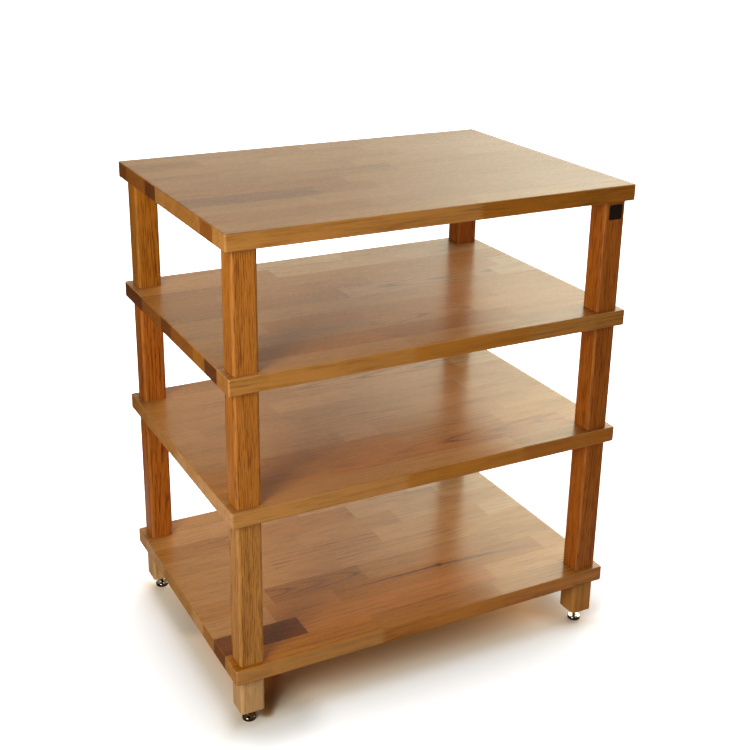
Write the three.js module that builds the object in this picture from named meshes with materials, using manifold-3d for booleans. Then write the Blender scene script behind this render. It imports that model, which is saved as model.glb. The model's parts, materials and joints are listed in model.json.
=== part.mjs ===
// Four-shelf oak rack for audio equipment. Square legs stand in line above and below each shelf board,
// let into shallow housings that keep them square. Double-ended wood screws join them through the boards,
// and a levelling spike stands in a small metal shoe under each foot block. Millimetres, +Z up, +X to the
// right along the wide front, +Y to the back. The origin is on the floor, under the middle of the rack.

import * as THREE from 'three';
import { mergeVertices } from 'three/addons/utils/BufferGeometryUtils.js';
import Module from 'manifold-3d';

const wasm = await Module();
wasm.setup();

// Shelf boards
const shelfWidth = 572;
const shelfDepth = 403;
const shelfThickness = 21.5;
const shelfCornerRadius = 3;
const shelfArris = 1.5;

// Legs and foot blocks, all of one square section
const legSide = 33;
const legCornerRadius = 4.5;
const legEndInset = 9;
const legFaceInset = 7;
const upperTierHeight = 152;
const middleTierHeight = 152;
const lowerTierHeight = 203;
const footBlockHeight = 51;

// Housings in the boards, which the ends of the legs and foot blocks stand in beyond those heights
const legHousingDepth = 1.5;
const legHousingClearance = 0.1;

// Clear height between the floor and the foot blocks, with the spikes at their locked setting
const footBlockLift = 20.5;

// Double-ended wood screws of the joints
const screwRadius = 4;
const screwBite = 24;
const topBoardWeb = 6.5;
const footBlockWeb = 3;
const screwPointLength = 5;
const screwPointRadius = 0.8;
const screwHoleClearance = 0.3;
const boardHoleClearance = 0.5;
const drillOverrun = 1;

// Levelling spikes
const spikeRadius = 4;
const spikeConeLength = 10.5;
const spikeTipRadius = 0.6;
const spikeEngagement = 22;
const spikeEndChamfer = 0.8;
const spikeClearance = 0.3;

// Threaded inserts of the foot blocks
const insertLength = 20;
const insertRadius = 6;
const insertFlangeRadius = 8.5;
const insertFlangeThickness = 1.5;
const insertClearance = 0.3;

// Lock nuts
const nutAcrossFlats = 13;
const nutHeight = 4;
const nutEdge = 0.5;

// Spike shoes
const shoeRadius = 9;
const shoeHeight = 5;
const shoeTopEdge = 0.8;
const shoeBottomEdge = 0.4;
const dishRadius = 3;
const dishDepth = 2.5;
const dishFloorRadius = 1;

// Bare plate on the upper right leg
const plateSide = 20;
const plateThickness = 0.8;
const plateCornerRadius = 1.5;
const plateEdge = 0.2;
const plateDrop = 5;

// Overrun of every cutting solid past the face that it cuts
const cutOverrun = 1;

// Facet counts
const cornerSegments = 4;
const boardEdgeSegments = 3;
const plateEdgeSegments = 1;
const nutSides = 6;
const holeSegments = 12;
const screwSegments = 8;
const boreSegments = 24;
const turnedSegments = 24;
const shoeSegments = 28;

// Finishes
const oakBoard = { color: 0xb3803f, roughness: 0.32, metalness: 0 };
const oakLeg = { color: 0xa3642a, roughness: 0.38, metalness: 0 };
const zincSteel = { color: 0x9fa3a6, roughness: 0.35, metalness: 1 };
const polishedSteel = { color: 0xd8d8d8, roughness: 0.12, metalness: 1 };
const darkPlate = { color: 0x241d19, roughness: 0.3, metalness: 0.6 };

// Levels of the stack above the floor
const footBlockTop = footBlockLift + footBlockHeight;
const bottomShelfTop = footBlockTop + shelfThickness;
const lowerTierTop = bottomShelfTop + lowerTierHeight;
const thirdShelfTop = lowerTierTop + shelfThickness;
const middleTierTop = thirdShelfTop + middleTierHeight;
const secondShelfTop = middleTierTop + shelfThickness;
const upperTierTop = secondShelfTop + upperTierHeight;

// Bites of the joint screws in the top board and in the foot blocks, which leave a web of sound wood
const topBoardBite = shelfThickness - legHousingDepth - topBoardWeb - drillOverrun;
const footBlockLength = footBlockHeight + legHousingDepth;
const footBlockBite = footBlockLength - spikeEngagement - footBlockWeb - 2 * drillOverrun;

// Middles of the corner columns
const legReachX = shelfWidth / 2 - legEndInset - legSide / 2;
const legReachY = shelfDepth / 2 - legFaceInset - legSide / 2;

const corners = [
  { name: 'front_left', x: -legReachX, y: -legReachY },
  { name: 'front_right', x: legReachX, y: -legReachY },
  { name: 'back_left', x: -legReachX, y: legReachY },
  { name: 'back_right', x: legReachX, y: legReachY },
];

// A closed geometry as a solid that can be cut
function toSolid(geometry) {
  const bare = geometry.clone();
  bare.deleteAttribute('normal');
  bare.deleteAttribute('uv');
  const merged = mergeVertices(bare);
  const mesh = new wasm.Mesh({
    numProp: 3,
    vertProperties: new Float32Array(merged.attributes.position.array),
    triVerts: new Uint32Array(merged.index.array),
  });
  return new wasm.Manifold(mesh);
}

function toGeometry(solid) {
  const mesh = solid.getMesh();
  const geometry = new THREE.BufferGeometry();
  geometry.setAttribute('position', new THREE.BufferAttribute(mesh.vertProperties, mesh.numProp));
  geometry.setIndex(new THREE.BufferAttribute(mesh.triVerts, 1));
  geometry.computeVertexNormals();
  return geometry;
}

function cutAll(geometry, cutters) {
  let solid = toSolid(geometry);
  for (const cutter of cutters) {
    solid = solid.subtract(toSolid(cutter));
  }
  return toGeometry(solid);
}

// An upright round hole from one level up to another, centred at x, y
function hole(radius, from, to, x, y, segments) {
  const cylinder = new THREE.CylinderGeometry(radius, radius, to - from, segments);
  cylinder.rotateX(Math.PI / 2);
  cylinder.translate(x, y, (from + to) / 2);
  return cylinder;
}

// A solid of revolution about Z from [radius, level] points
function turned(points, segments) {
  const profile = points.map(([radius, level]) => new THREE.Vector2(radius, level));
  const geometry = new THREE.LatheGeometry(profile, segments);
  geometry.rotateX(Math.PI / 2);
  return geometry;
}

function roundedRectangle(width, depth, radius) {
  const right = width / 2;
  const back = depth / 2;
  const shape = new THREE.Shape();
  shape.absarc(right - radius, back - radius, radius, 0, Math.PI / 2);
  shape.absarc(radius - right, back - radius, radius, Math.PI / 2, Math.PI);
  shape.absarc(radius - right, radius - back, radius, Math.PI, Math.PI * 1.5);
  shape.absarc(right - radius, radius - back, radius, Math.PI * 1.5, Math.PI * 2);
  return shape;
}

// A plate standing on z = 0 whose upper and lower edges are rounded over
function roundedSlab(shape, thickness, edge, edgeSegments) {
  const geometry = new THREE.ExtrudeGeometry(shape, {
    depth: thickness - 2 * edge,
    bevelEnabled: true,
    bevelThickness: edge,
    bevelSize: edge,
    bevelOffset: -edge,
    bevelSegments: edgeSegments,
    curveSegments: cornerSegments,
  });
  geometry.translate(0, 0, edge);
  return geometry;
}

function addPiece(group, name, geometry, finish, x, y, z) {
  const mesh = new THREE.Mesh(geometry, new THREE.MeshStandardMaterial(finish));
  mesh.name = name;
  mesh.position.set(x, y, z);
  group.add(mesh);
  return mesh;
}

function squareBar(side, cornerRadius, length) {
  const section = roundedRectangle(side, side, cornerRadius);
  return new THREE.ExtrudeGeometry(section, {
    depth: length,
    bevelEnabled: false,
    curveSegments: cornerSegments,
  });
}

// The space for the end of a leg or foot block from one level of a board up to another
function housing(from, to, x, y) {
  const side = legSide + 2 * legHousingClearance;
  const space = squareBar(side, legCornerRadius + legHousingClearance, to - from);
  space.translate(x, y, from);
  return space;
}

// A shelf board, its underside on z = 0, with housings for the pieces below it. Another piece stands on
// every board but the top one, so that one's screw holes are blind and its upper face is whole.
function shelfGeometry(carriesLegs) {
  const outline = roundedRectangle(shelfWidth, shelfDepth, shelfCornerRadius);
  const board = roundedSlab(outline, shelfThickness, shelfArris, boardEdgeSegments);
  const radius = screwRadius + boardHoleClearance;
  const blindRoof = legHousingDepth + topBoardBite + drillOverrun;
  const roof = carriesLegs ? shelfThickness + cutOverrun : blindRoof;
  const cutters = [];
  for (const { x, y } of corners) {
    cutters.push(hole(radius, -cutOverrun, roof, x, y, holeSegments));
    cutters.push(housing(-cutOverrun, legHousingDepth, x, y));
    if (carriesLegs) {
      cutters.push(housing(shelfThickness - legHousingDepth, shelfThickness + cutOverrun, x, y));
    }
  }
  return cutAll(board, cutters);
}

// A leg, its foot on z = 0, with a pilot hole for a joint screw in each end
function legGeometry(length) {
  const radius = screwRadius + screwHoleClearance;
  const depth = screwBite + drillOverrun;
  const below = hole(radius, -cutOverrun, depth, 0, 0, holeSegments);
  const above = hole(radius, length - depth, length + cutOverrun, 0, 0, holeSegments);
  return cutAll(squareBar(legSide, legCornerRadius, length), [below, above]);
}

// A foot block: a pilot hole above, and below it a stepped bore for the insert and the spike's end
function footBlockGeometry() {
  const pilotDepth = footBlockBite + drillOverrun;
  const flangeSeat = insertFlangeThickness + insertClearance;
  const pilotRadius = screwRadius + screwHoleClearance;
  const top = footBlockLength;
  return cutAll(squareBar(legSide, legCornerRadius, top), [
    hole(pilotRadius, top - pilotDepth, top + cutOverrun, 0, 0, holeSegments),
    hole(insertFlangeRadius + insertClearance, -cutOverrun, flangeSeat, 0, 0, turnedSegments),
    hole(insertRadius + insertClearance, 0, insertLength + insertClearance, 0, 0, turnedSegments),
    hole(spikeRadius + spikeClearance, 0, spikeEngagement + drillOverrun, 0, 0, turnedSegments),
  ]);
}

// A double-ended wood screw that reaches down and up from z = 0
function jointScrewGeometry(reachDown, reachUp) {
  return turned([
    [0, -reachDown],
    [screwPointRadius, -reachDown],
    [screwRadius, screwPointLength - reachDown],
    [screwRadius, reachUp - screwPointLength],
    [screwPointRadius, reachUp],
    [0, reachUp],
  ], screwSegments);
}

// The flanged sleeve that the spike screws into, its flange on z = 0
function insertGeometry() {
  const bore = spikeRadius + spikeClearance;
  return turned([
    [bore, 0],
    [insertFlangeRadius, 0],
    [insertFlangeRadius, insertFlangeThickness],
    [insertRadius, insertFlangeThickness],
    [insertRadius, insertLength],
    [bore, insertLength],
    [bore, 0],
  ], boreSegments);
}

// A hexagon nut with its outer corners taken off, its upper face on z = 0
function lockNutGeometry() {
  const cornerRadius = nutAcrossFlats / 2 / Math.cos(Math.PI / nutSides);
  const hexagon = new THREE.CylinderGeometry(cornerRadius, cornerRadius, nutHeight, nutSides);
  hexagon.rotateX(Math.PI / 2);
  hexagon.translate(0, 0, -nutHeight / 2);
  const dressed = turned([
    [0, -nutHeight],
    [nutAcrossFlats / 2, -nutHeight],
    [nutAcrossFlats / 2 + 2 * nutEdge, nutEdge - nutHeight],
    [nutAcrossFlats / 2 + 2 * nutEdge, -nutEdge],
    [nutAcrossFlats / 2, 0],
    [0, 0],
  ], turnedSegments);
  const bore = hole(spikeRadius + spikeClearance, -nutHeight - cutOverrun, cutOverrun, 0, 0, boreSegments);
  return toGeometry(toSolid(hexagon).intersect(toSolid(dressed)).subtract(toSolid(bore)));
}

// A levelling spike, the flat of its point on z = 0
function spikeGeometry(length) {
  return turned([
    [0, 0],
    [spikeTipRadius, 0],
    [spikeRadius, spikeConeLength],
    [spikeRadius, length - spikeEndChamfer],
    [spikeRadius - spikeEndChamfer, length],
    [0, length],
  ], turnedSegments);
}

// A dished disc that stands on z = 0
function shoeGeometry() {
  return turned([
    [0, 0],
    [shoeRadius - shoeBottomEdge, 0],
    [shoeRadius, shoeBottomEdge],
    [shoeRadius, shoeHeight - shoeTopEdge],
    [shoeRadius - shoeTopEdge, shoeHeight],
    [dishRadius, shoeHeight],
    [dishFloorRadius, shoeHeight - dishDepth],
    [0, shoeHeight - dishDepth],
  ], shoeSegments);
}

const rack = new THREE.Group();
rack.name = 'audio_rack';

// Boards
const boards = [
  { name: 'bottom_shelf', level: footBlockTop, carriesLegs: true },
  { name: 'third_shelf', level: lowerTierTop, carriesLegs: true },
  { name: 'second_shelf', level: middleTierTop, carriesLegs: true },
  { name: 'top_shelf', level: upperTierTop, carriesLegs: false },
];
for (const { name, level, carriesLegs } of boards) {
  addPiece(rack, name, shelfGeometry(carriesLegs), oakBoard, 0, 0, level);
}

// One column at each corner: foot block, three legs, their joint screws and the levelling foot
const legs = [
  { name: 'lower_leg', level: bottomShelfTop, height: lowerTierHeight },
  { name: 'middle_leg', level: thirdShelfTop, height: middleTierHeight },
  { name: 'upper_leg', level: secondShelfTop, height: upperTierHeight },
];

// Reach of the joint screws below and above the underside of the board that each goes into
const legReach = screwBite - legHousingDepth;
const blockReach = footBlockBite - legHousingDepth;
const throughReach = shelfThickness + legReach;
const topReach = legHousingDepth + topBoardBite;
const jointScrews = [
  { name: 'bottom_joint_screw', level: footBlockTop, reachDown: blockReach, reachUp: throughReach },
  { name: 'third_joint_screw', level: lowerTierTop, reachDown: legReach, reachUp: throughReach },
  { name: 'second_joint_screw', level: middleTierTop, reachDown: legReach, reachUp: throughReach },
  { name: 'top_joint_screw', level: upperTierTop, reachDown: legReach, reachUp: topReach },
];
const spikeTipLevel = shoeHeight - dishDepth;
const spikeLength = footBlockLift + spikeEngagement - spikeTipLevel;

for (const corner of corners) {
  const column = new THREE.Group();
  column.position.set(corner.x, corner.y, 0);
  rack.add(column);
  const add = (name, geometry, finish, level) =>
    addPiece(column, `${name}_${corner.name}`, geometry, finish, 0, 0, level);

  for (const { name, level, height } of legs) {
    add(name, legGeometry(height + 2 * legHousingDepth), oakLeg, level - legHousingDepth);
  }
  for (const { name, level, reachDown, reachUp } of jointScrews) {
    add(name, jointScrewGeometry(reachDown, reachUp), zincSteel, level);
  }
  add('foot_block', footBlockGeometry(), oakLeg, footBlockLift);
  add('spike_insert', insertGeometry(), zincSteel, footBlockLift);
  add('lock_nut', lockNutGeometry(), polishedSteel, footBlockLift);
  add('spike', spikeGeometry(spikeLength), polishedSteel, spikeTipLevel);
  add('spike_shoe', shoeGeometry(), polishedSteel, 0);
}

// The bare plate lies on the front face of the upper right leg, with its outer face turned to the front
const plateOutline = roundedRectangle(plateSide, plateSide, plateCornerRadius);
const plateGeometry = roundedSlab(plateOutline, plateThickness, plateEdge, plateEdgeSegments);
const plateY = -legReachY - legSide / 2;
const plateZ = upperTierTop - plateDrop - plateSide / 2;
const plate = addPiece(rack, 'badge_plate', plateGeometry, darkPlate, legReachX, plateY, plateZ);
plate.rotation.x = Math.PI / 2;

export default rack;
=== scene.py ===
"""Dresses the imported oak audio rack: oak, metal, studio floor, lamp and camera.

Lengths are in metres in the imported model's frame: +X right along the front, +Y back, +Z up, and the
origin on the floor under the middle of the rack.
"""

import json
import math
import random

import bmesh
import bpy
from mathutils import Matrix, Vector

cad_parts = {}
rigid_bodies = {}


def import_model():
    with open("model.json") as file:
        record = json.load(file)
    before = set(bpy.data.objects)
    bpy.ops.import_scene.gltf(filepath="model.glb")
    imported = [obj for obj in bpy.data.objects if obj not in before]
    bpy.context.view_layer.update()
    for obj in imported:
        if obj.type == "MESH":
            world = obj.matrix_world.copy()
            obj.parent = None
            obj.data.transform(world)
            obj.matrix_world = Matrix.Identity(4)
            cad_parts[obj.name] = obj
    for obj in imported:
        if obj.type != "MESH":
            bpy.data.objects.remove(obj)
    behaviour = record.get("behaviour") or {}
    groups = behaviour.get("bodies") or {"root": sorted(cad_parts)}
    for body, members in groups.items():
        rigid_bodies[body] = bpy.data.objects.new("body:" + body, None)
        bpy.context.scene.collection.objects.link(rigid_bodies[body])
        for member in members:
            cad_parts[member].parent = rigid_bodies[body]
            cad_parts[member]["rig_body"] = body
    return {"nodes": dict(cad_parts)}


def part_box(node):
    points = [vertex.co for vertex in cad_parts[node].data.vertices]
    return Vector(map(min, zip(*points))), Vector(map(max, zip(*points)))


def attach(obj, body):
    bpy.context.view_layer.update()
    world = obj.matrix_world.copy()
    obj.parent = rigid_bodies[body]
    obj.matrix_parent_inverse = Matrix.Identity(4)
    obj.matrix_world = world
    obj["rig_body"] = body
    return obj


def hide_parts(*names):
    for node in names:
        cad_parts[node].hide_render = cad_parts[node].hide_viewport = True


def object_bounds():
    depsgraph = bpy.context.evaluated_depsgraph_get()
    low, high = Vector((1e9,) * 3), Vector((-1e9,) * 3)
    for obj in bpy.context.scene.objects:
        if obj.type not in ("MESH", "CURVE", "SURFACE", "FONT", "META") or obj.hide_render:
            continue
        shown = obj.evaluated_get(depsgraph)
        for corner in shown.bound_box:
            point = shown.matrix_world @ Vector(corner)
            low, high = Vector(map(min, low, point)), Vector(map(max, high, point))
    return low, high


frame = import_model()
cad_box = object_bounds()

MM = 0.001
CORNERS = ("front_left", "front_right", "back_left", "back_right")
CAD_BODY = {node: obj["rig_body"] for node, obj in frame["nodes"].items()}

# Board blanks: staves glued side by side, round upright corners and round-over edges
BOARD_CORNER_RADIUS = 3 * MM
BOARD_ARRIS = 1.5 * MM
CORNER_STEPS = 6
ARRIS_STEPS = 4
FIRST_ROW_WIDTH = 38 * MM
STAVE_WIDTH = 41 * MM
ROWS = 10

# Finger joints, which show on the long edges of a board
FINGER_LENGTH = 9 * MM
FINGERS = 5

# Legs and foot blocks
POST_CORNER_RADIUS = 4.5 * MM
POST_CORNER_STEPS = 8
HOUSING_DEPTH = 1.5 * MM
HOUSING_CLEARANCE = 0.1 * MM
HOUSING_OVERRUN = 1 * MM

# Levelling feet
SPIKE_CONE_LENGTH = 10.5 * MM
SPIKE_TIP_RADIUS = 0.6 * MM
SPIKE_SIDES = 40
THREAD_PITCH = 1.25 * MM
THREAD_DEPTH = 0.62 * MM
THREAD_STEPS_PER_PITCH = 8
NUT_SIDES = 6
NUT_CHAMFER = 0.4 * MM
NUT_CHAMFER_ANGLE = 30
NUT_BORE_CLEARANCE = 0.3 * MM
NUT_CUT_OVERRUN = 0.5 * MM
NUT_MOUTH = 0.01 * MM
SHOE_TOP_ROUND = 1 * MM
SHOE_FOOT_ROUND = 0.5 * MM
DISH_RADIUS = 3 * MM
DISH_LIP = 0.3 * MM
DISH_DEPTH = 2.5 * MM
DISH_FLOOR_RADIUS = 1 * MM
ARC_STEPS = 5
TURNED_SIDES = 64

# Bare plate
PLATE_CORNER_RADIUS = 1.5 * MM
PLATE_CORNER_STEPS = 8
PLATE_ARRIS = 0.3 * MM
PLATE_ARRIS_STEPS = 3

# Lengths that differ by less than this are taken as the same
SAME = 0.1 * MM

# Colours of single staves and legs, as linear reflectance
OAK_TONES = {
    "ivory": (0.580, 0.380, 0.190),
    "cream": (0.545, 0.325, 0.145),
    "pale": (0.500, 0.255, 0.090),
    "straw": (0.460, 0.215, 0.058),
    "honey": (0.430, 0.192, 0.043),
    "tan": (0.410, 0.178, 0.038),
    "toast": (0.375, 0.153, 0.027),
    "golden": (0.405, 0.158, 0.020),
    "amber": (0.390, 0.140, 0.019),
    "auburn": (0.390, 0.138, 0.007),
    "copper": (0.435, 0.155, 0.015),
    "russet": (0.335, 0.120, 0.010),
    "chestnut": (0.365, 0.108, 0.011),
    "brown": (0.255, 0.082, 0.006),
    "umber": (0.165, 0.047, 0.003),
    "dark": (0.125, 0.034, 0.004),
}

# Staves of each board, row by row from the front. A number is where a stave ends, in millimetres from
# the left end of the board, and the last stave of a row runs to the right end. A stave is plain unless
# it is arched, with cathedral grain, or lined, with bold straight grain.
# The back rows' paler tones are partly the wood's own and partly painted light falling from behind
BOARD_STAVES = {
    "top_shelf": (
        "toast 334 honey",
        "russet 212 toast 455 tan",
        "toast 148 tan 397 honey",
        "brown 85 brown 178 russet 262 tan 402 honey",
        "russet 236 tan 520 honey",
        "toast 128 toast 331 straw",
        "toast 96 tan 290 straw 470 pale",
        "tan 175 straw 388 pale",
        "toast 96 straw 344 pale",
        "honey 262 pale",
    ),
    "second_shelf": (
        "straw 246 honey-lined 420 toast",
        "tan 52 auburn 228 russet 430 toast",
        "tan 50 tan 232 tan-arched 389 honey",
        "honey 104 auburn 238 golden 451 honey",
        "honey 172 honey 340 honey",
        "toast 260 pale-arched 505 cream",
        "toast 90 tan 318 straw 530 cream",
        "toast 118 straw 322 straw",
        "straw 204 cream 418 cream",
        "straw 160 ivory 246 ivory 330 cream",
    ),
    "third_shelf": (
        "tan 241 honey-lined 420 toast-lined",
        "golden 150 amber-arched 527 honey",
        "golden 88 auburn 277 toast-lined 440 honey",
        "tan 60 tan 212 straw 266 tan 468 straw",
        "tan 206 honey-lined 396 straw",
        "honey 45 tan 248 honey 455 pale",
        "tan 166 straw 352 straw",
        "tan 218 straw-arched 490 cream",
        "honey 142 straw 366 pale",
        "toast 284 honey",
    ),
    "bottom_shelf": (
        "auburn-lined 210 russet-lined 402 toast-lined",
        "umber 118 amber-lined 416 honey-lined",
        "straw 90 amber 190 russet 527 tan",
        "toast 105 russet-arched 251 toast 483 tan",
        "tan 232 honey-lined 430 straw",
        "tan 142 tan-lined 318 straw 506 cream",
        "tan 204 honey 373 pale",
        "toast 106 toast-arched 314 pale 472 cream",
        "straw 236 pale 430 cream",
        "honey 160 straw 366 honey",
    ),
}

# Tones of the left ends of each board's rows from the front, darker towards the back on the upper three
# boards
BOARD_ENDS = {
    "top_shelf": "honey brown toast toast toast tan dark brown brown umber",
    "second_shelf": "toast dark russet brown brown umber brown brown dark dark",
    "third_shelf": "pale pale pale straw pale honey honey tan toast russet",
    "bottom_shelf": "honey umber toast pale tan honey tan pale pale honey",
}

# Tones of the front edge of each board, a word for each stave of the front row
BOARD_FRONTS = {
    "top_shelf": "honey russet",
    "second_shelf": "honey golden tan",
    "third_shelf": "straw golden amber",
    "bottom_shelf": "honey copper copper",
}

# Tones of the foot block and of the lower, middle and upper legs above it
POST_KINDS = ("foot_block", "lower_leg", "middle_leg", "upper_leg")
POST_TONES = {
    "front_left": "cream honey amber amber",
    "front_right": "honey chestnut chestnut chestnut",
    "back_left": "cream chestnut chestnut russet",
    "back_right": "pale chestnut chestnut chestnut",
}

# How boldly rings and streaks show in each kind of stave and post
STAVE_FIGURES = {"arched": (0.60, 0.22, 0.0), "lined": (0.36, 0.24, 0.0), "plain": (0.18, 0.26, 0.0)}
LEG_FIGURE = (0.35, 0.55, 0.0)
FOOT_BLOCK_FIGURE = (0.30, 0.22, 0.0)

# A small knot in the bottom board, with the dark streak that runs out of it both ways along the grain,
# wider and fainter on its right
KNOT_STAVE = ("bottom_shelf", 2, 2)
KNOT_ALONG = 359 * MM
KNOT_ACROSS = 109 * MM
KNOT_RADIUS = 4.5 * MM
KNOT_DARKNESS = 1.4
STREAK_DRIFT = 0.065
STREAK_SWAY = 4 * MM
STREAK_WIDTH = 3.4 * MM
STREAK_LENGTH = 165 * MM
STREAK_CHANGE = 60 * MM


# Node trees

def chained(operation):
    """A Bench function that puts values together from left to right."""
    def together(bench, first, *others):
        for other in others:
            first = bench.math(operation, first, other)
        return first
    return together


class Bench:
    """Lays out the nodes of one tree. A value is a number, a tuple or another node's socket."""

    plus = chained("ADD")
    minus = chained("SUBTRACT")
    times = chained("MULTIPLY")
    over = chained("DIVIDE")
    most = chained("MAXIMUM")
    least = chained("MINIMUM")

    def __init__(self, tree):
        self.tree = tree

    def feed(self, socket, value):
        if isinstance(value, bpy.types.NodeSocket):
            self.tree.links.new(value, socket)
        else:
            socket.default_value = value

    def add(self, kind, feeds=None, **settings):
        node = self.tree.nodes.new(kind)
        for name, value in settings.items():
            setattr(node, name, value)
        for key, value in (feeds or {}).items():
            self.feed(node.inputs[key], value)
        return node

    def out(self, kind, feeds=None, **settings):
        """The first output of an added node."""
        return self.add(kind, feeds, **settings).outputs[0]

    def math(self, operation, *values):
        return self.out("ShaderNodeMath", dict(enumerate(values)), operation=operation)

    def size(self, value):
        return self.math("ABSOLUTE", value)

    def rest(self, value):
        """What is left of 1."""
        return self.math("SUBTRACT", 1, value)

    def vector(self, operation, *values):
        return self.out("ShaderNodeVectorMath", dict(enumerate(values)), operation=operation)

    def length(self, vector):
        return self.add("ShaderNodeVectorMath", {0: vector}, operation="LENGTH").outputs["Value"]

    def parts(self, vector):
        return self.add("ShaderNodeSeparateXYZ", {"Vector": vector}).outputs

    def join(self, x, y, z):
        return self.out("ShaderNodeCombineXYZ", {"X": x, "Y": y, "Z": z})

    def span(self, value, low, high, to_low=0, to_high=1, smooth=True):
        """Value spread from low..high to to_low..to_high, held at both ends."""
        feeds = {"Value": value, "From Min": low, "From Max": high, "To Min": to_low, "To Max": to_high}
        kind = "SMOOTHSTEP" if smooth else "LINEAR"
        return self.out("ShaderNodeMapRange", feeds, interpolation_type=kind, clamp=True)

    def mix(self, factor, first, second):
        """A number from first, at factor 0, to second, at factor 1."""
        return self.out("ShaderNodeMix", {0: factor, 2: first, 3: second})

    def blend(self, factor, first, second):
        """A colour from first, at factor 0, to second, at factor 1."""
        node = self.add("ShaderNodeMix", {"Factor": factor}, data_type="RGBA")
        for socket, colour in zip(node.inputs[6:8], (first, second)):
            self.feed(socket, (*colour, 1) if isinstance(colour, tuple) else colour)
        return node.outputs[2]

    def ramp(self, value, colours):
        """Colours at their places from 0 to 1, in order."""
        node = self.add("ShaderNodeValToRGB", {"Fac": value})
        stops = node.color_ramp.elements
        for place in list(colours)[1:-1]:
            stops.new(place)
        for stop, colour in zip(stops, colours.values()):
            stop.color = (*colour, 1)
        return node.outputs["Color"]

    def noise(self, place, stretch, detail=2, roughness=0.5, offset=None):
        """Noise from 0 to 1 whose detail is stretched by a count per metre along each axis."""
        spot = self.vector("MULTIPLY", place, stretch)
        if offset is not None:
            spot = self.vector("ADD", spot, offset)
        feeds = {"Vector": spot, "Scale": 1, "Detail": detail, "Roughness": roughness}
        return self.out("ShaderNodeTexNoise", feeds)

    def coordinates(self, kind):
        return self.add("ShaderNodeTexCoord").outputs[kind]

    def attribute(self, name):
        return self.add("ShaderNodeAttribute", attribute_name=name).outputs["Vector"]

    def relief(self, shader, strength, distance, height):
        """Bumps the shader's surface by a height from 0 to 1 over a distance."""
        bump = self.add("ShaderNodeBump", {"Strength": strength, "Distance": distance, "Height": height})
        self.feed(shader.inputs["Normal"], bump.outputs[0])


def clear_bench(owner):
    """The emptied node tree of a material or a world."""
    owner.use_nodes = True
    owner.node_tree.nodes.clear()
    return Bench(owner.node_tree)


def new_material(name):
    material = bpy.data.materials.new(name)
    bench = clear_bench(material)
    shader = bench.add("ShaderNodeBsdfPrincipled")
    bench.add("ShaderNodeOutputMaterial", {"Surface": shader.outputs[0]})
    return material, bench, shader


# Oak

RING_WOBBLE = 3 * MM
RING_RIPPLE = 1 * MM
GLUE_LINE = 0.12 * MM
GLUE_DARKNESS = 0.3

# Noise in the wood: its counts per metre along, across and down through the grain, detail and roughness
WOOD_NOISE = {
    "wobble": ((6, 14, 14), 1, 0.5),
    "ripple": ((30, 90, 90), 3, 0.6),
    "pores": ((150, 2300, 2300), 1, 0.5),
    "fibres": ((9, 150, 150), 5, 0.72),
    "clouds": ((5, 26, 26), 2, 0.5),
    "rays": ((210, 420, 90), 1, 0.5),
}

# What each part of the grain adds to the wood's darkness
EARLY_WOOD = 0.6
LATE_WOOD = 0.4
PORES = 0.22
FIBRES = 0.33
CLOUDS = 0.15
RAYS = -0.06

# What the wood's tone is multiplied by, from the palest grain to the darkest
GRAIN_TINTS = {
    0.00: (1.28, 1.28, 1.26),
    0.30: (1.00, 0.99, 0.93),
    0.62: (0.65, 0.50, 0.38),
    1.00: (0.32, 0.18, 0.08),
}
# Paler oak where faces turn: partly wear, partly a painted highlight along the rounded edges
RUBBED_AND_HIGHLIT_OAK = (0.60, 0.39, 0.18)
ROUGHER_PORES = 0.12
ROUGHER_ENDS = 0.30
LACQUER_ROUGHNESS = 0.2


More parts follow.
